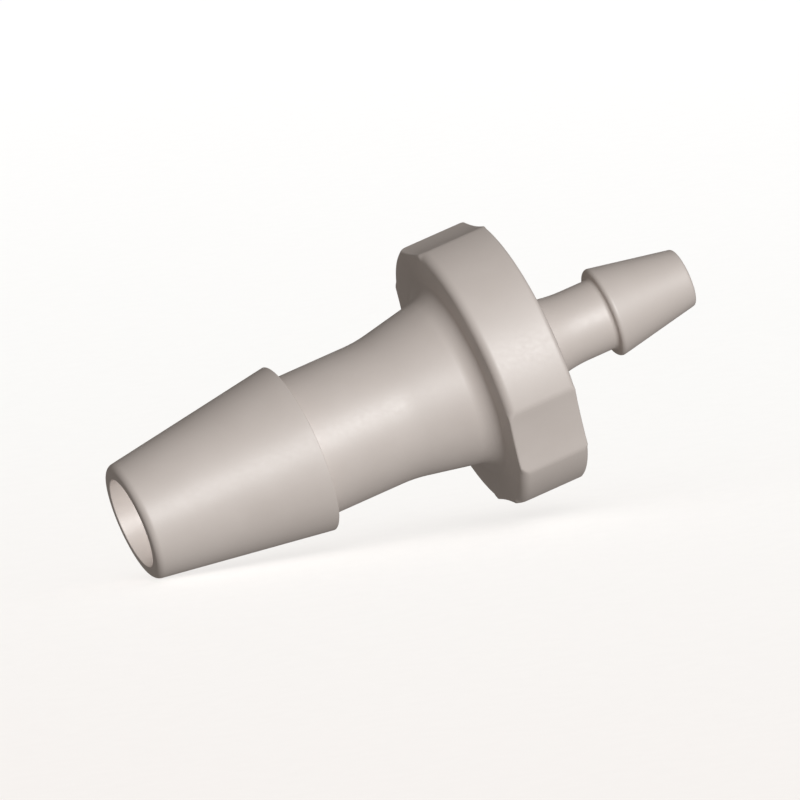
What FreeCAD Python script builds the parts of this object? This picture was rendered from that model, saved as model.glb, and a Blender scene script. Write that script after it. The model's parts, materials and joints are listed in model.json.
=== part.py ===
"""Hose barb reducer: a moulded tube fitting that joins a large hose to a small one.

The fitting is modelled along its own flow axis, local +X, from the large tip at x = 0 to the small tip.
Its placement then lays it down as it comes to rest on a table: on the rim of the large barb's shoulder and
on the two corners of one flange scallop, with the small end raised. +Z is up, +X runs towards the small
end, and the origin is at the bottom centre of the fitting's box.
"""
import FreeCAD, Part
import math
import os

from Sketcher import Constraint

Vector = FreeCAD.Vector
Rotation = FreeCAD.Rotation

# Driving dimensions, in millimetres and degrees

SIZES = {
    # Large barb, for hose of 6.35 mm inside diameter, with a sharp rim that grips it
    "large_tip_diameter": 5.48,
    "large_tip_round": 0.36,
    "large_barb_diameter": 7.96,
    "large_barb_length": 8.43,
    # Large neck, and the flare that thickens it towards the flange
    "large_neck_diameter": 6.66,
    "large_neck_length": 4.33,
    "large_flare_diameter": 8.10,
    "large_flare_length": 3.66,
    "large_flare_blend": 6.20,
    "flange_root_fillet": 1.10,
    # Flange with two broad grip pads and four scallops
    "flange_diameter": 12.70,
    "flange_thickness": 3.35,
    "flange_front_round": 0.42,
    "flange_back_round": 0.22,
    "scallop_radius": 15.60,
    "scallop_depth": 0.33,
    "scallop_angle_from_pad": 59.6,
    "scallop_corner_round": 0.88,
    # Small neck, which flares in the same way
    "small_flare_diameter": 4.07,
    "small_flare_length": 2.00,
    "small_flare_blend": 6.20,
    "small_neck_diameter": 3.34,
    "small_neck_length": 1.90,
    # Small barb, for hose of 3.18 mm inside diameter
    "small_shoulder_fillet": 0.17,
    "small_shoulder_slope": 0.06,
    "small_barb_diameter": 4.28,
    "small_barb_length": 4.11,
    "small_barb_round": 0.19,
    "small_tip_diameter": 2.73,
    "small_tip_round": 0.15,
    # Stepped bore, with its taper inside the flange
    "large_bore_diameter": 4.25,
    "bore_taper_length": 1.60,
    "bore_taper_setback": 0.60,
    "small_bore_diameter": 1.90,
}

# Stations along the flow axis, each worked out from the one before it

LARGE_TIP = "0"
LARGE_SHOULDER = "sizes.large_barb_length"
LARGE_FLARE_START = LARGE_SHOULDER + " + sizes.large_neck_length"
FLANGE_FRONT = LARGE_FLARE_START + " + sizes.large_flare_length"
FLANGE_MIDDLE = FLANGE_FRONT + " + sizes.flange_thickness / 2"
FLANGE_BACK = FLANGE_FRONT + " + sizes.flange_thickness"
SMALL_FLARE_END = FLANGE_BACK + " + sizes.small_flare_length"
SMALL_SHOULDER_FOOT = SMALL_FLARE_END + " + sizes.small_neck_length"
SMALL_SHOULDER = SMALL_SHOULDER_FOOT + " + sizes.small_shoulder_slope"
SMALL_TIP = SMALL_SHOULDER + " + sizes.small_barb_length"
BORE_TAPER_END = FLANGE_BACK + " - sizes.bore_taper_setback"
BORE_TAPER_START = BORE_TAPER_END + " - sizes.bore_taper_length"

# Radii of the flange outline. A scallop is an arc about a centre outside the rim, and a corner is a small arc
# about a centre inside it, which touches the rim and the scallop.

RIM_RADIUS = "sizes.flange_diameter / 2"
SCALLOP_FLOOR = RIM_RADIUS + " - sizes.scallop_depth"
SCALLOP_CENTRE = SCALLOP_FLOOR + " + sizes.scallop_radius"
CORNER_CENTRE = RIM_RADIUS + " - sizes.scallop_corner_round"

# Rounds, each held to a share of the wall, step or face that it stands on

RIM_LIMIT = "0.49 * sizes.scallop_corner_round; 0.4 * sizes.flange_thickness"
FRONT_ROUND = f"min(sizes.flange_front_round; {RIM_LIMIT})"
BACK_ROUND = f"min(sizes.flange_back_round; {RIM_LIMIT})"
ROOT_FACE = SCALLOP_FLOOR + " - sizes.flange_front_round - sizes.large_flare_diameter / 2"
ROOT_FILLET = f"min(sizes.flange_root_fillet; 0.7 * ({ROOT_FACE}))"
LARGE_WALL = "(sizes.large_tip_diameter - sizes.large_bore_diameter) / 2"
LARGE_TIP_ROUND = f"min(sizes.large_tip_round; 0.6 * {LARGE_WALL})"
SMALL_WALL = "(sizes.small_tip_diameter - sizes.small_bore_diameter) / 2"
SMALL_TIP_ROUND = f"min(sizes.small_tip_round; 0.5 * {SMALL_WALL})"
SMALL_STEP = "abs(sizes.small_barb_diameter - sizes.small_neck_diameter) / 2"
SMALL_SHOULDER_FILLET = f"min(sizes.small_shoulder_fillet; 0.42 * {SMALL_STEP})"
SMALL_BARB_ROUND = f"min(sizes.small_barb_round; 0.42 * {SMALL_STEP})"

EDGE_TOLERANCE = 1e-4


def evaluate(feature, expression):
    """The plain number that an expression over the sheet gives."""
    return float(feature.evalExpression(expression))


def make_sheet(doc):
    """The spreadsheet that drives the model, with one named cell for each size."""
    sheet = doc.addObject("Spreadsheet::Sheet", "sizes")
    for row, (name, value) in enumerate(SIZES.items(), start=1):
        sheet.set(f"A{row}", name)
        sheet.set(f"B{row}", str(value))
        sheet.setAlias(f"B{row}", name)
    doc.recompute()


def add_sketch(body, name, role):
    """A sketch lying on one of the body's own origin planes."""
    sketch = body.newObject("Sketcher::SketchObject", name)
    plane = next(item for item in body.Origin.OriginFeatures if item.Role == role)
    sketch.AttachmentSupport = [(plane, "")]
    sketch.MapMode = "FlatFace"
    return sketch


def bind(sketch, constraint, expression):
    """Adds one dimension to a sketch and ties it to the sheet."""
    index = sketch.addConstraint(constraint)
    sketch.setExpression(f"Constraints[{index}]", expression)


def arc(sketch, centre, radius, start, end):
    """Adds an arc that turns from the direction of one point to the direction of another."""
    angles = [math.atan2(point.y - centre.y, point.x - centre.x) for point in (start, end)]
    circle = Part.Circle(centre, Vector(0, 0, 1), radius)
    return sketch.addGeometry(Part.ArcOfCircle(circle, *angles), False)


def half_section(body, name, outline):
    """A closed half section above the flow axis, through corners given as (station, diameter) expressions.

    A diameter of None puts the corner on the axis. A third expression rounds the corner: an arc of that radius
    touches both of its sides, and a construction point keeps the corner that the sides aim at.
    """
    sketch = add_sketch(body, name, "XY_Plane")
    corners = []
    for station, diameter, *blend in outline:
        height = evaluate(sketch, diameter) / 2 if diameter else 0
        corners.append(Vector(evaluate(sketch, station), height, 0))
    count = len(corners)

    arrivals, departures, centres = list(corners), list(corners), {}
    for i, (station, diameter, *blend) in enumerate(outline):
        if blend:
            radius = evaluate(sketch, blend[0])
            back = (corners[i - 1] - corners[i]).normalize()
            onward = (corners[(i + 1) % count] - corners[i]).normalize()
            half_angle = back.getAngle(onward) / 2
            arrivals[i] = corners[i] + back * (radius / math.tan(half_angle))
            departures[i] = corners[i] + onward * (radius / math.tan(half_angle))
            centres[i] = corners[i] + (back + onward).normalize() * (radius / math.sin(half_angle))
    for i in range(count):
        sketch.addGeometry(Part.LineSegment(departures[i], arrivals[(i + 1) % count]), False)

    for i, (station, diameter, *blend) in enumerate(outline):
        last, corner = (i - 1) % count, (i, 1)
        if blend:
            radius = evaluate(sketch, blend[0])
            turns_left = (corners[i] - arrivals[i]).cross(departures[i] - corners[i]).z > 0
            ends = (arrivals[i], departures[i]) if turns_left else (departures[i], arrivals[i])
            bow = arc(sketch, centres[i], radius, *ends)
            bind(sketch, Constraint("Radius", bow, radius), blend[0])
            sketch.addConstraint(Constraint("Tangent", last, 2, bow, 1 if turns_left else 2))
            sketch.addConstraint(Constraint("Tangent", bow, 2 if turns_left else 1, i, 1))
            corner = (sketch.addGeometry(Part.Point(corners[i]), True), 1)
            sketch.addConstraint(Constraint("PointOnObject", *corner, last))
            sketch.addConstraint(Constraint("PointOnObject", *corner, i))
        else:
            sketch.addConstraint(Constraint("Coincident", last, 2, i, 1))
        if station != LARGE_TIP:
            bind(sketch, Constraint("DistanceX", -1, 1, *corner, corners[i].x), station)
        else:
            sketch.addConstraint(Constraint("PointOnObject", *corner, -2))
        if diameter:
            bind(sketch, Constraint("DistanceY", -1, 1, *corner, corners[i].y), diameter + " / 2")
        else:
            sketch.addConstraint(Constraint("PointOnObject", *corner, -1))
    return sketch


def turn(body, kind, name, sketch):
    """A full turn of a half section about the flow axis, as a Revolution or a Groove."""
    feature = body.newObject(kind, name)
    feature.Profile = sketch
    feature.ReferenceAxis = (sketch, ["H_Axis"])
    feature.Angle = 360
    body.Document.recompute()


def barrel(body):
    """Both barbs, both necks and both flares. Its step between the two ends is hidden inside the flange."""
    sketch = half_section(
        body,
        "BarrelSection",
        [
            (LARGE_TIP, None),
            (LARGE_TIP, "sizes.large_tip_diameter", LARGE_TIP_ROUND),
            (LARGE_SHOULDER, "sizes.large_barb_diameter"),
            (LARGE_SHOULDER, "sizes.large_neck_diameter"),
            (LARGE_FLARE_START, "sizes.large_neck_diameter", "sizes.large_flare_blend"),
            (FLANGE_FRONT, "sizes.large_flare_diameter"),
            (FLANGE_MIDDLE, "sizes.large_flare_diameter"),
            (FLANGE_MIDDLE, "sizes.small_flare_diameter"),
            (FLANGE_BACK, "sizes.small_flare_diameter"),
            (SMALL_FLARE_END, "sizes.small_neck_diameter", "sizes.small_flare_blend"),
            (SMALL_SHOULDER_FOOT, "sizes.small_neck_diameter", SMALL_SHOULDER_FILLET),
            (SMALL_SHOULDER, "sizes.small_barb_diameter", SMALL_BARB_ROUND),
            (SMALL_TIP, "sizes.small_tip_diameter", SMALL_TIP_ROUND),
            (SMALL_TIP, None),
        ],
    )
    turn(body, "PartDesign::Revolution", "Barrel", sketch)


def stepped_bore(body):
    """The way through: a wide bore, a taper inside the flange and a narrow bore."""
    sketch = half_section(
        body,
        "BoreSection",
        [
            (LARGE_TIP, None),
            (LARGE_TIP, "sizes.large_bore_diameter"),
            (BORE_TAPER_START, "sizes.large_bore_diameter"),
            (BORE_TAPER_END, "sizes.small_bore_diameter"),
            (SMALL_TIP, "sizes.small_bore_diameter"),
            (SMALL_TIP, None),
        ],
    )
    turn(body, "PartDesign::Groove", "SteppedBore", sketch)


def corner_spread(feature):
    """Angle at the flow axis between a scallop's middle and the centre of either of its corner rounds."""
    near = evaluate(feature, CORNER_CENTRE)
    far = evaluate(feature, SCALLOP_CENTRE)
    between = evaluate(feature, "sizes.scallop_radius + sizes.scallop_corner_round")
    return math.acos((near**2 + far**2 - between**2) / (2 * near * far))


def polar(radius, angle):
    """The point of the flange sketch at a radius and an angle in radians from the first pad's middle."""
    return Vector(radius * math.cos(angle), radius * math.sin(angle), 0)


def flange_outline(body):
    """The flange seen along the flow axis: two broad pads and two short lands, parted by four scallops."""
    sketch = add_sketch(body, "FlangeOutline", "YZ_Plane")
    sketch.setExpression(".AttachmentOffset.Base.z", FLANGE_FRONT)
    rim = evaluate(sketch, RIM_RADIUS)
    hollow = evaluate(sketch, "sizes.scallop_radius")
    corner = evaluate(sketch, "sizes.scallop_corner_round")
    spread = corner_spread(sketch)
    slant = math.radians(evaluate(sketch, "sizes.scallop_angle_from_pad"))
    middles = [slant, math.pi - slant, math.pi + slant, 2 * math.pi - slant]

    lands, hollows, corners = [], [], []
    for i, middle in enumerate(middles):
        before = polar(evaluate(sketch, CORNER_CENTRE), middle - spread)
        after = polar(evaluate(sketch, CORNER_CENTRE), middle + spread)
        outside = polar(evaluate(sketch, SCALLOP_CENTRE), middle)
        last_end = polar(rim, middles[i - 1] + spread)
        lands.append(arc(sketch, Vector(0, 0, 0), rim, last_end, before))
        corners.append(arc(sketch, before, corner, before * 2, outside))
        hollows.append(arc(sketch, outside, hollow, after, before))
        corners.append(arc(sketch, after, corner, outside, after * 2))

    for i in range(4):
        before, after = corners[2 * i], corners[2 * i + 1]
        sketch.addConstraint(Constraint("Coincident", lands[i], 3, -1, 1))
        sketch.addConstraint(Constraint("Tangent", lands[i], 2, before, 1))
        sketch.addConstraint(Constraint("Tangent", before, 2, hollows[i], 2))
        sketch.addConstraint(Constraint("Tangent", hollows[i], 1, after, 1))
        sketch.addConstraint(Constraint("Tangent", after, 2, lands[(i + 1) % 4], 1))
    for group, radius in (
        (lands, RIM_RADIUS),
        (hollows, "sizes.scallop_radius"),
        (corners, "sizes.scallop_corner_round"),
    ):
        bind(sketch, Constraint("Radius", group[0], evaluate(sketch, radius)), radius)
        for other in group[1:]:
            sketch.addConstraint(Constraint("Equal", group[0], other))
    across = f"({SCALLOP_CENTRE}) * cos(sizes.scallop_angle_from_pad)"
    upwards = f"({SCALLOP_CENTRE}) * sin(sizes.scallop_angle_from_pad)"
    bind(sketch, Constraint("DistanceX", -1, 1, hollows[0], 3, evaluate(sketch, across)), across)
    bind(sketch, Constraint("DistanceY", -1, 1, hollows[0], 3, evaluate(sketch, upwards)), upwards)
    sketch.addConstraint(Constraint("Symmetric", hollows[0], 3, hollows[1], 3, -2))
    sketch.addConstraint(Constraint("Symmetric", hollows[1], 3, hollows[2], 3, -1))
    sketch.addConstraint(Constraint("Symmetric", hollows[0], 3, hollows[3], 3, -1))
    return sketch


def flange(body):
    """The scalloped flange round the barrel."""
    pad = body.newObject("PartDesign::Pad", "Flange")
    pad.Profile = flange_outline(body)
    pad.setExpression("Length", "sizes.flange_thickness")
    body.Document.recompute()


def edges_at(body, station, inner, outer):
    """Names of the body's edges that lie on one station's plane, between two radii from the flow axis."""
    plane, low, high = (evaluate(body, expression) for expression in (station, inner, outer))
    names = []
    for number, edge in enumerate(body.Shape.Edges, start=1):
        points = edge.discretize(5)
        radii = [math.hypot(point.y, point.z) for point in points]
        flat = all(abs(point.x - plane) < EDGE_TOLERANCE for point in points)
        if flat and low - EDGE_TOLERANCE < min(radii) and max(radii) < high + EDGE_TOLERANCE:
            names.append(f"Edge{number}")
    return names


def fillet(body, name, radius, station, inner, outer):
    """Rounds the body's edges that lie on one station's plane, between two radii."""
    edges = edges_at(body, station, inner, outer)
    feature = body.newObject("PartDesign::Fillet", name)
    feature.Base = (feature.BaseFeature, edges)
    feature.setExpression("Radius", radius)
    body.Document.recompute()


def rounds(body):
    """The moulded rounds of the flange: both of its rims, and its root in the large flare."""
    root_radius = "sizes.large_flare_diameter / 2"
    fillet(body, "FrontRim", FRONT_ROUND, FLANGE_FRONT, SCALLOP_FLOOR, RIM_RADIUS)
    fillet(body, "BackRim", BACK_ROUND, FLANGE_BACK, SCALLOP_FLOOR, RIM_RADIUS)
    fillet(body, "FlangeRoot", ROOT_FILLET, FLANGE_FRONT, root_radius, root_radius)


def resting_turn(body):
    """The turn that lays the fitting on one scallop's corners and on the rim of the large shoulder.

    Seen from the side, the table is the line that passes through the sharp rim of the large barb and touches
    a small circle from below: the round of the flange's front rim at the scallop's corners.
    """
    rim_round = evaluate(body, FRONT_ROUND)
    corner_depth = evaluate(body, CORNER_CENTRE) * math.cos(corner_spread(body))
    flange_x = evaluate(body, FLANGE_FRONT) + rim_round
    flange_reach = corner_depth + evaluate(body, "sizes.scallop_corner_round") - rim_round

    run = flange_x - evaluate(body, LARGE_SHOULDER)
    drop = flange_reach - evaluate(body, "sizes.large_barb_diameter / 2")
    tilt = math.atan2(drop, run) + math.asin(rim_round / math.hypot(run, drop))
    roll = evaluate(body, "sizes.scallop_angle_from_pad") - 90
    return Rotation(Vector(0, 1, 0), -math.degrees(tilt)) * Rotation(Vector(1, 0, 0), roll)


def lay_down(body):
    """Places the fitting at rest, with the origin at the bottom centre of its box."""
    body.Placement = FreeCAD.Placement(Vector(0, 0, 0), resting_turn(body))
    box = body.Shape.optimalBoundingBox(False, False)
    body.Placement.Base = Vector(-box.Center.x, -box.Center.y, -box.ZMin)


def check(doc):
    """Stops when any object of the document failed, or when a body's shape can't be used."""
    for item in doc.Objects:
        if "Invalid" in item.State or "Error" in item.State:
            raise RuntimeError(f"{item.Label} failed: {item.State}")
    for item in doc.findObjects("PartDesign::Body"):
        if item.Shape.isNull() or not item.Shape.isValid() or len(item.Shape.Solids) != 1:
            raise RuntimeError(f"{item.Label} is not one valid solid")


def main():
    doc = FreeCAD.newDocument("hose_barb_reducer")
    make_sheet(doc)
    body = doc.addObject("PartDesign::Body", "reducer_body")
    barrel(body)
    flange(body)
    stepped_bore(body)
    rounds(body)
    lay_down(body)
    check(doc)
    os.makedirs("parts", exist_ok=True)
    body.Shape.exportStep(f"parts/{body.Label}.step")


main()
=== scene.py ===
"""Hose barb reducer: its moulded skin and finish, the photograph's view and the studio round it."""

import bmesh
import bpy
import json
import math
from mathutils import Matrix, Vector


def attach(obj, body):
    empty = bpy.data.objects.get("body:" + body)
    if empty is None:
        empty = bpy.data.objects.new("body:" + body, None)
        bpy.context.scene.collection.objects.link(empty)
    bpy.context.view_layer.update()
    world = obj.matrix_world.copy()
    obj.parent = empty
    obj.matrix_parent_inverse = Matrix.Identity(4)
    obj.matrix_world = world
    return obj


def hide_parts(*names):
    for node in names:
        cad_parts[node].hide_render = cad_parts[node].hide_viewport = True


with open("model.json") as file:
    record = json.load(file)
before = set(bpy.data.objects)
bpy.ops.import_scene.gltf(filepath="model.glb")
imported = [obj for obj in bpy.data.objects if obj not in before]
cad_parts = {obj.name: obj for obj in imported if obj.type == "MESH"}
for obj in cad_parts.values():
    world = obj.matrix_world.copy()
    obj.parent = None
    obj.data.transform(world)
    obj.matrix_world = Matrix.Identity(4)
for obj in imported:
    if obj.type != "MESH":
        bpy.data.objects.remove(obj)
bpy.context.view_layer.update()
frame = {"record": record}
record = frame["record"]
scene = bpy.context.scene
MM = 0.001

# Diameters, lengths and rounds of the moulding, in millimetres and degrees, the same as its solid has

LARGE_TIP, LARGE_TIP_ROUND = 5.48, 0.36
LARGE_BARB = 7.96
LARGE_NECK, LARGE_NECK_LENGTH = 6.66, 4.33
LARGE_FLARE, LARGE_FLARE_LENGTH = 8.10, 3.66
FLARE_BLEND = 6.20
FLANGE, FLANGE_THICKNESS = 12.70, 3.35
FRONT_ROUND, BACK_ROUND = 0.42, 0.22
SCALLOP_RADIUS, SCALLOP_DEPTH, SCALLOP_FROM_PAD = 15.60, 0.33, 59.6
CORNER_ROUND = 0.88
SMALL_FLARE, SMALL_FLARE_LENGTH = 4.07, 2.00
SMALL_NECK = 3.34
SHOULDER_FILLET, SHOULDER_SLOPE = 0.17, 0.06
SMALL_BARB, SMALL_BARB_ROUND = 4.28, 0.19
SMALL_TIP, SMALL_TIP_ROUND = 2.73, 0.15
BORE_TAPER_LENGTH = 1.60

# What the photograph shows finer than the solid has it: the flare's root, the sharp edges and the scallops'
# edges. A scallop takes away the rim's round three times as fast as it cuts in.

ROOT_FILLET = 0.88
CRISP_EDGE = 0.04
SCALLOP_EDGE = 0.09
ROUND_LOSS = 3.0

# The flow axis, and the stations along it that the record's mounts give

mounts = {m["name"]: m for m in record["mounts"]}
wide, narrow = mounts["large_bore"], mounts["small_bore"]
flow = Vector(narrow["axis"]).normalized()
large_mouth = Vector(wide["pos_m"]) - flow * (wide["dims"]["length_mm"] / 2 * MM)
tilt = math.atan2(flow.z, flow.x)


def station(point):
    """How far along the flow axis a point of the record lies, in millimetres from the large tip."""
    return (Vector(point) - large_mouth).dot(flow) / MM


large_shoulder = station(mounts["large_hose"]["pos_m"])
flare_start = large_shoulder + LARGE_NECK_LENGTH
flange_front = flare_start + LARGE_FLARE_LENGTH
flange_back = flange_front + FLANGE_THICKNESS
small_shoulder = station(mounts["small_hose"]["pos_m"])
small_end = station(Vector(narrow["pos_m"]) + flow * (narrow["dims"]["length_mm"] / 2 * MM))
taper_start = wide["dims"]["length_mm"]
taper_end = taper_start + BORE_TAPER_LENGTH
large_bore, small_bore = wide["dims"]["r_mm"], narrow["dims"]["r_mm"]

# From the moulding's own axes, the first along the flow, to the model's
roll = math.radians(SCALLOP_FROM_PAD - 90)
in_model = Matrix.Rotation(-tilt, 3, "Y") @ Matrix.Rotation(roll, 3, "X")


# The moulding's mesh

RING_GAP = 1.3
ARC_STEP, LEAST_ARC_STEPS = math.radians(7.0), 4
LAND_STEP = math.radians(2.4)
CORNER_STEPS, SCALLOP_STEPS = 6, 16
HOLD = 0.03


def polar(radius, angle):
    return Vector((radius * math.cos(angle), radius * math.sin(angle)))


def sweep_between(first, last):
    """Start and turn, in radians, of the shorter way from one direction to another."""
    start = math.atan2(first.y, first.x)
    turn = math.atan2(last.y, last.x) - start
    return start, (turn + math.pi) % math.tau - math.pi


def bow(centre, radius, first, last, steps, outward=1):
    """An arc's points and outward normals, up to but not with its end."""
    start, turn = sweep_between(first, last)
    rays = [polar(1.0, start + turn * i / steps) for i in range(steps)]
    return [(centre + ray * radius, ray * outward) for ray in rays]


def flange_outline():
    """The flange's outline: lands on the disc, and scallops that meet them in corner rounds."""
    rim = FLANGE / 2
    inner = rim - CORNER_ROUND
    outer = rim - SCALLOP_DEPTH + SCALLOP_RADIUS
    reach = SCALLOP_RADIUS + CORNER_ROUND
    spread = math.acos((inner**2 + outer**2 - reach**2) / (2 * inner * outer))
    slant = math.radians(SCALLOP_FROM_PAD)
    middles = [slant, math.pi - slant, math.pi + slant, math.tau - slant]
    outline = []
    for i, middle in enumerate(middles):
        last_corner = polar(inner, middles[i - 1] + spread)
        before, after = polar(inner, middle - spread), polar(inner, middle + spread)
        outside = polar(outer, middle)
        land_steps = round(abs(sweep_between(last_corner, before)[1]) / LAND_STEP)
        outline += bow(Vector((0, 0)), rim, last_corner, before, land_steps)
        outline += bow(before, CORNER_ROUND, before, outside - before, CORNER_STEPS)
        outline += bow(outside, SCALLOP_RADIUS, before - outside, after - outside, SCALLOP_STEPS, -1)
        outline += bow(after, CORNER_ROUND, outside - after, after, CORNER_STEPS)
    return outline


def section(corners):
    """Points of the closed half section through its corners, each rounded by its own radius.

    A corner is (station, radius, round, whether it follows the flange's outline). Each point comes out as
    (station, radius, whether it is sharp, its corner and round if it follows the outline). A round has a
    point just before and just after it, which keeps the flats flat.
    """
    points = []
    for i, (along, radius, bend, is_outlined) in enumerate(corners):
        here = Vector((along, radius))
        outlined = (here, bend) if is_outlined else None
        if not bend:
            points.append((*here, True, outlined))
            continue
        back = (Vector(corners[i - 1][:2]) - here).normalized()
        onward = (Vector(corners[(i + 1) % len(corners)][:2]) - here).normalized()
        half_angle = back.angle(onward) / 2
        centre = here + (back + onward).normalized() * (bend / math.sin(half_angle))
        reach = bend / math.tan(half_angle)
        start, turn = sweep_between(here + back * reach - centre, here + onward * reach - centre)
        steps = max(LEAST_ARC_STEPS, round(abs(turn) / ARC_STEP))
        arc = [centre + polar(bend, start + turn * j / steps) for j in range(steps + 1)]
        for point in (here + back * (reach + HOLD), *arc, here + onward * (reach + HOLD)):
            points.append((*point, False, outlined))
    return points


def ring_of(along, radius, outlined, outline):
    """Places in the model of one ring of the skin, which is a circle or follows the flange's outline.

    The rim is rounded before the scallops are cut, so its round runs out where they cut deeper.
    """
    rim = FLANGE / 2
    ring = []
    for edge, normal in outline:
        if outlined:
            corner, bend = outlined
            left = max(SCALLOP_EDGE / bend, 1 - ROUND_LOSS * (rim - edge.length) / bend)
            x, r = corner.lerp(Vector((along, radius)), left)
            flat = edge - normal * (rim - r)
        else:
            x, flat = along, edge.normalized() * radius
        ring.append(large_mouth + in_model @ Vector((x, *flat)) * MM)
    return ring


def filled(rings):
    """The same rings, with more between them on the long straight runs."""
    dense = []
    for (ring, is_sharp), (ahead, _) in zip(rings, rings[1:] + rings[:1]):
        dense.append((ring, is_sharp))
        parts = math.ceil(max((b - a).length for a, b in zip(ring, ahead)) / (RING_GAP * MM))
        for j in range(1, parts):
            dense.append(([a.lerp(b, j / parts) for a, b in zip(ring, ahead)], False))
    return dense


def moulding(name):
    """The whole fitting in one closed skin, ring by ring from the large mouth and back through the bore."""
    corners = [
        (0.0, large_bore, CRISP_EDGE, False),
        (0.0, LARGE_TIP / 2, LARGE_TIP_ROUND, False),
        (large_shoulder, LARGE_BARB / 2, CRISP_EDGE, False),
        (large_shoulder, LARGE_NECK / 2, 0, False),
        (flare_start, LARGE_NECK / 2, FLARE_BLEND, False),
        (flange_front, LARGE_FLARE / 2, ROOT_FILLET, False),
        (flange_front, FLANGE / 2, FRONT_ROUND, True),
        (flange_back, FLANGE / 2, BACK_ROUND, True),
        (flange_back, SMALL_FLARE / 2, 0, False),
        (flange_back + SMALL_FLARE_LENGTH, SMALL_NECK / 2, FLARE_BLEND, False),
        (small_shoulder - SHOULDER_SLOPE, SMALL_NECK / 2, SHOULDER_FILLET, False),
        (small_shoulder, SMALL_BARB / 2, SMALL_BARB_ROUND, False),
        (small_end, SMALL_TIP / 2, SMALL_TIP_ROUND, False),
        (small_end, small_bore, CRISP_EDGE, False),
        (taper_end, small_bore, 0, False),
        (taper_start, large_bore, 0, False),
    ]
    outline = flange_outline()
    rings = []
    for along, radius, is_sharp, outlined in section(corners):
        rings.append((ring_of(along, radius, outlined, outline), is_sharp))
    rings = filled(rings)
    skin = bmesh.new()
    loops = [[skin.verts.new(place) for place in ring] for ring, _ in rings]
    for loop, ahead, (_, is_sharp) in zip(loops, loops[1:] + loops[:1], rings):
        for a, b, c, d in zip(loop, loop[1:] + loop[:1], ahead[1:] + ahead[:1], ahead):
            face = skin.faces.new((a, b, c, d))
            face.smooth = True
            if is_sharp:
                skin.edges.get((a, b)).smooth = False
    bmesh.ops.recalc_face_normals(skin, faces=skin.faces)
    mesh = bpy.data.meshes.new(name)
    skin.to_mesh(mesh)
    skin.free()
    piece = bpy.data.objects.new(name, mesh)
    scene.collection.objects.link(piece)
    return piece


# Materials

GREYS = (0.560, 0.508, 0.474), (0.586, 0.534, 0.500)
FIBRES = (0.990, 0.990, 0.990), (1.0, 1.0, 1.0)
# Painted light falloff on the paper floor: its colour is darker and faintly warm at the front and white at
# the back, with these stops and heights
PAINTED_FALLOFF_FRONT, PAINTED_FALLOFF_MIDDLE, PAINTED_FALLOFF_BACK = (0.899, 0.880, 0.866), (0.932, 0.938, 0.933), (0.980, 0.992, 1.0)
PAINTED_FALLOFF_MIDDLE_HEIGHT, PAINTED_FALLOFF_BACK_HEIGHT = 0.5, 0.93
RAMP_FROM, RAMP_TO = 0.32, 0.68
MIX_FIRST, MIX_SECOND, MIXED = 6, 7, 2


def new_tree(name):
    """A material with an empty node tree."""
    material = bpy.data.materials.new(name)
    material.use_nodes = True
    material.node_tree.nodes.clear()
    return material, material.node_tree


def add(tree, kind, **values):
    """A node whose sockets have the named values, with _ for a space in a name."""
    node = tree.nodes.new(kind)
    for name, value in values.items():
        node.inputs[name.replace("_", " ")].default_value = value
    return node


def link(tree, a, out, b, into):
    tree.links.new(a.outputs[out], b.inputs[into])


def noise(tree, place, scale, detail, rough=0.55):
    node = add(tree, "ShaderNodeTexNoise", Scale=scale, Detail=detail, Roughness=rough)
    link(tree, place, "Object", node, "Vector")
    return node


def ramp(tree, source, low_end, high_end):
    """Two colours, blended over the middle of a noise."""
    node = tree.nodes.new("ShaderNodeValToRGB")
    first, last = node.color_ramp.elements
    first.position, first.color = RAMP_FROM, (*low_end, 1.0)
    last.position, last.color = RAMP_TO, (*high_end, 1.0)
    link(tree, source, "Fac", node, "Fac")
    return node


def satin_plastic():
    """Satin moulded plastic: warm light grey, faintly clouded, with a fine spark-eroded skin."""
    material, tree = new_tree("satin_plastic")
    place = tree.nodes.new("ShaderNodeTexCoord")

    cloud = noise(tree, place, scale=420.0, detail=4.0)
    shade = ramp(tree, cloud, *GREYS)

    speck = noise(tree, place, scale=5200.0, detail=2.0, rough=0.6)
    gloss = add(tree, "ShaderNodeMapRange", From_Min=0.3, From_Max=0.7, To_Min=0.52, To_Max=0.57)
    link(tree, speck, "Fac", gloss, "Value")

    waves = noise(tree, place, scale=900.0, detail=2.0, rough=0.5)
    coarse = add(tree, "ShaderNodeBump", Strength=0.05, Distance=0.00004)
    link(tree, waves, "Fac", coarse, "Height")
    grain = noise(tree, place, scale=9000.0, detail=3.0, rough=0.6)
    fine = add(tree, "ShaderNodeBump", Strength=0.10, Distance=0.000005)
    link(tree, grain, "Fac", fine, "Height")
    link(tree, coarse, "Normal", fine, "Normal")

    skin = add(tree, "ShaderNodeBsdfPrincipled", IOR=1.49)
    link(tree, shade, "Color", skin, "Base Color")
    link(tree, gloss, "Result", skin, "Roughness")
    link(tree, fine, "Normal", skin, "Normal")
    out = tree.nodes.new("ShaderNodeOutputMaterial")
    link(tree, skin, "BSDF", out, "Surface")
    return material


shell = moulding("moulded_shell")
shell.data.materials.append(satin_plastic())
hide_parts("reducer_body")
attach(shell, "root")


# The photograph's view, fitted to its outline. The camera stands ROUND_AXIS round the flow axis from straight
# below it. The flow runs away from it, with TOWARDS_CAMERA as the sine, and up the picture by IN_PICTURE.

PICTURE_WIDTH = 35.70 * MM
CAMERA_DISTANCE = 800.0 * MM
SENSOR_WIDTH = 36.0
TOWARDS_CAMERA = 0.232
ROUND_AXIS = math.radians(100.0)
IN_PICTURE = math.radians(24.06)
MOUTH_TO_CENTRE = (12.004 * MM, 5.517 * MM)

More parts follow.
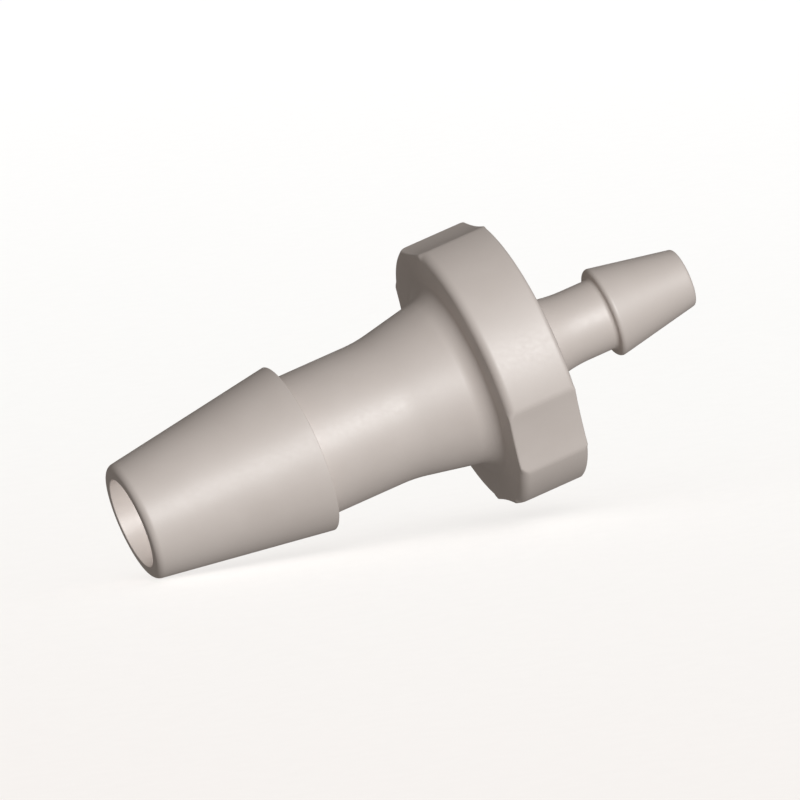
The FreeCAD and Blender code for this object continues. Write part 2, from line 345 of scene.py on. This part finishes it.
down_side = Vector((math.sin(tilt), 0.0, -math.cos(tilt)))
across = Vector((0.0, 1.0, 0.0))
near = math.cos(ROUND_AXIS) * down_side - math.sin(ROUND_AXIS) * across
low = math.sin(ROUND_AXIS) * down_side + math.cos(ROUND_AXIS) * across
sideways = math.sqrt(1.0 - TOWARDS_CAMERA ** 2)
towards = (sideways * near - TOWARDS_CAMERA * flow).normalized()
along = (sideways * flow + TOWARDS_CAMERA * near).normalized()
right = math.cos(IN_PICTURE) * along + math.sin(IN_PICTURE) * low
up = math.sin(IN_PICTURE) * along - math.cos(IN_PICTURE) * low
target = large_mouth + right * MOUTH_TO_CENTRE[0] + up * MOUTH_TO_CENTRE[1]

camera_data = bpy.data.cameras.new("camera")
camera_data.sensor_width = SENSOR_WIDTH
camera_data.lens = SENSOR_WIDTH * CAMERA_DISTANCE / PICTURE_WIDTH
camera_data.clip_start = 0.01
camera_data.clip_end = 20.0
camera = bpy.data.objects.new("camera", camera_data)
scene.collection.objects.link(camera)
camera.rotation_mode = "QUATERNION"
camera.rotation_quaternion = Matrix((right, up, towards)).transposed().to_quaternion()
camera.location = target + towards * CAMERA_DISTANCE
scene.camera = camera
scene.view_settings.view_transform = "Standard"


# The studio: a pale paper floor, and lamps that each light the part or the floor

up_the_picture = Vector((up.x, up.y, 0.0)).normalized()


def on_floor(height):
    """How far along the ground a height of the picture lies, with 0 for its bottom and 1 for its top."""
    sight = target + up * (height - 0.5) * PICTURE_WIDTH - camera.location
    landing = camera.location + sight * (-camera.location.z / sight.z)
    return landing.dot(up_the_picture)


def paper_with_painted_falloff():
    """The studio's pale paper with a painted light falloff in its colour: white at the back, darker and
    faintly warm at the front.
    """
    material, tree = new_tree("paper_with_painted_falloff")
    place = tree.nodes.new("ShaderNodeTexCoord")
    depth = tree.nodes.new("ShaderNodeVectorMath")
    depth.operation = "DOT_PRODUCT"
    depth.inputs[1].default_value = up_the_picture
    link(tree, place, "Object", depth, 0)
    front, middle, back = (on_floor(height) for height in (0.0, PAINTED_FALLOFF_MIDDLE_HEIGHT, PAINTED_FALLOFF_BACK_HEIGHT))
    run = add(tree, "ShaderNodeMapRange", From_Min=front, From_Max=back)
    link(tree, depth, "Value", run, "Value")
    # Painted light falloff: the paper's colour darkens and warms from the back towards the front, as a lamp
    # falling off would shade it
    painted_falloff = tree.nodes.new("ShaderNodeValToRGB")
    painted_falloff.color_ramp.elements.new((middle - front) / (back - front))
    for stop, colour in zip(painted_falloff.color_ramp.elements, (PAINTED_FALLOFF_FRONT, PAINTED_FALLOFF_MIDDLE, PAINTED_FALLOFF_BACK)):
        stop.color = (*colour, 1.0)
    link(tree, run, "Result", painted_falloff, "Fac")
    fibres = noise(tree, place, scale=900.0, detail=3.0)
    shade = ramp(tree, fibres, *FIBRES)
    blend = tree.nodes.new("ShaderNodeMix")
    blend.data_type = "RGBA"
    blend.blend_type = "MULTIPLY"
    blend.inputs["Factor"].default_value = 1.0
    link(tree, painted_falloff, "Color", blend, MIX_FIRST)
    link(tree, shade, "Color", blend, MIX_SECOND)
    skin = add(tree, "ShaderNodeBsdfPrincipled", Roughness=0.95)
    skin.inputs["Specular IOR Level"].default_value = 0.0
    link(tree, blend, MIXED, skin, "Base Color")
    out = tree.nodes.new("ShaderNodeOutputMaterial")
    link(tree, skin, "BSDF", out, "Surface")
    return material


FLOOR_REACH = 4.0
floor_mesh = bpy.data.meshes.new("floor")
floor_corners = [(x * FLOOR_REACH, y * FLOOR_REACH, 0) for x, y in ((-1, -1), (1, -1), (1, 1), (-1, 1))]
floor_mesh.from_pydata(floor_corners, [], [(0, 1, 2, 3)])
floor = bpy.data.objects.new("floor", floor_mesh)
scene.collection.objects.link(floor)
floor.data.materials.append(paper_with_painted_falloff())
floor.visible_diffuse = False
floor.visible_glossy = False

lit_part = bpy.data.collections.new("lit_part")
lit_part.objects.link(shell)
lit_floor = bpy.data.collections.new("lit_floor")
lit_floor.objects.link(floor)


def sun(name, direction, brightness, angle, receivers, shadow=True):
    """A sun of so many degrees across that lights the receivers; at 1.0 it shows white paper as white."""
    lamp_data = bpy.data.lights.new(name, "SUN")
    lamp_data.energy = brightness * math.pi
    lamp_data.angle = math.radians(angle)
    lamp_data.use_shadow = shadow
    lamp = bpy.data.objects.new(name, lamp_data)
    scene.collection.objects.link(lamp)
    lamp.rotation_mode = "QUATERNION"
    lamp.rotation_quaternion = direction.to_track_quat("Z", "Y")
    lamp.light_linking.receiver_collection = receivers
    return lamp


# The part's lamps stand by the camera, as where a part is turned on a table before them
key_side = Vector((0.365, 0.127, 1.0)).normalized()
far_side = Vector((0.0, 0.21, -1.0)).normalized()
key = sun("key", key_side, 0.8, 8.0, lit_part, shadow=False)
shine = sun("shine", key_side, 1.6, 8.0, lit_part, shadow=False)
shine.visible_diffuse = False
back = sun("back", far_side, 0.16, 30.0, lit_part, shadow=False)
back.visible_glossy = False
for lamp in (key, shine, back):
    lamp.parent = camera

# The floor's lamps stand overhead, and only the weak one casts a shadow
overhead = Vector((0.0, 0.0, 1.0))
sun("overhead", overhead, 0.045, 120.0, lit_floor)
sun("overhead_even", overhead, 0.765, 20.0, lit_floor, shadow=False)


def studio_air():
    """Soft light from all sides for the part, and a pale wall behind it where the floor ends."""
    studio = bpy.data.worlds.new("studio")
    studio.use_nodes = True
    tree = studio.node_tree
    tree.nodes.clear()
    fill = add(tree, "ShaderNodeBackground", Color=(1.0, 0.93, 0.875, 1.0), Strength=0.23)
    wall = add(tree, "ShaderNodeBackground", Color=(1.0, 1.0, 0.99, 1.0), Strength=1.0)
    seen = tree.nodes.new("ShaderNodeLightPath")
    either = tree.nodes.new("ShaderNodeMixShader")
    out = tree.nodes.new("ShaderNodeOutputWorld")
    link(tree, seen, "Is Camera Ray", either, "Fac")
    link(tree, fill, "Background", either, 1)
    link(tree, wall, "Background", either, 2)
    link(tree, either, "Shader", out, "Surface")
    return studio


scene.world = studio_air()
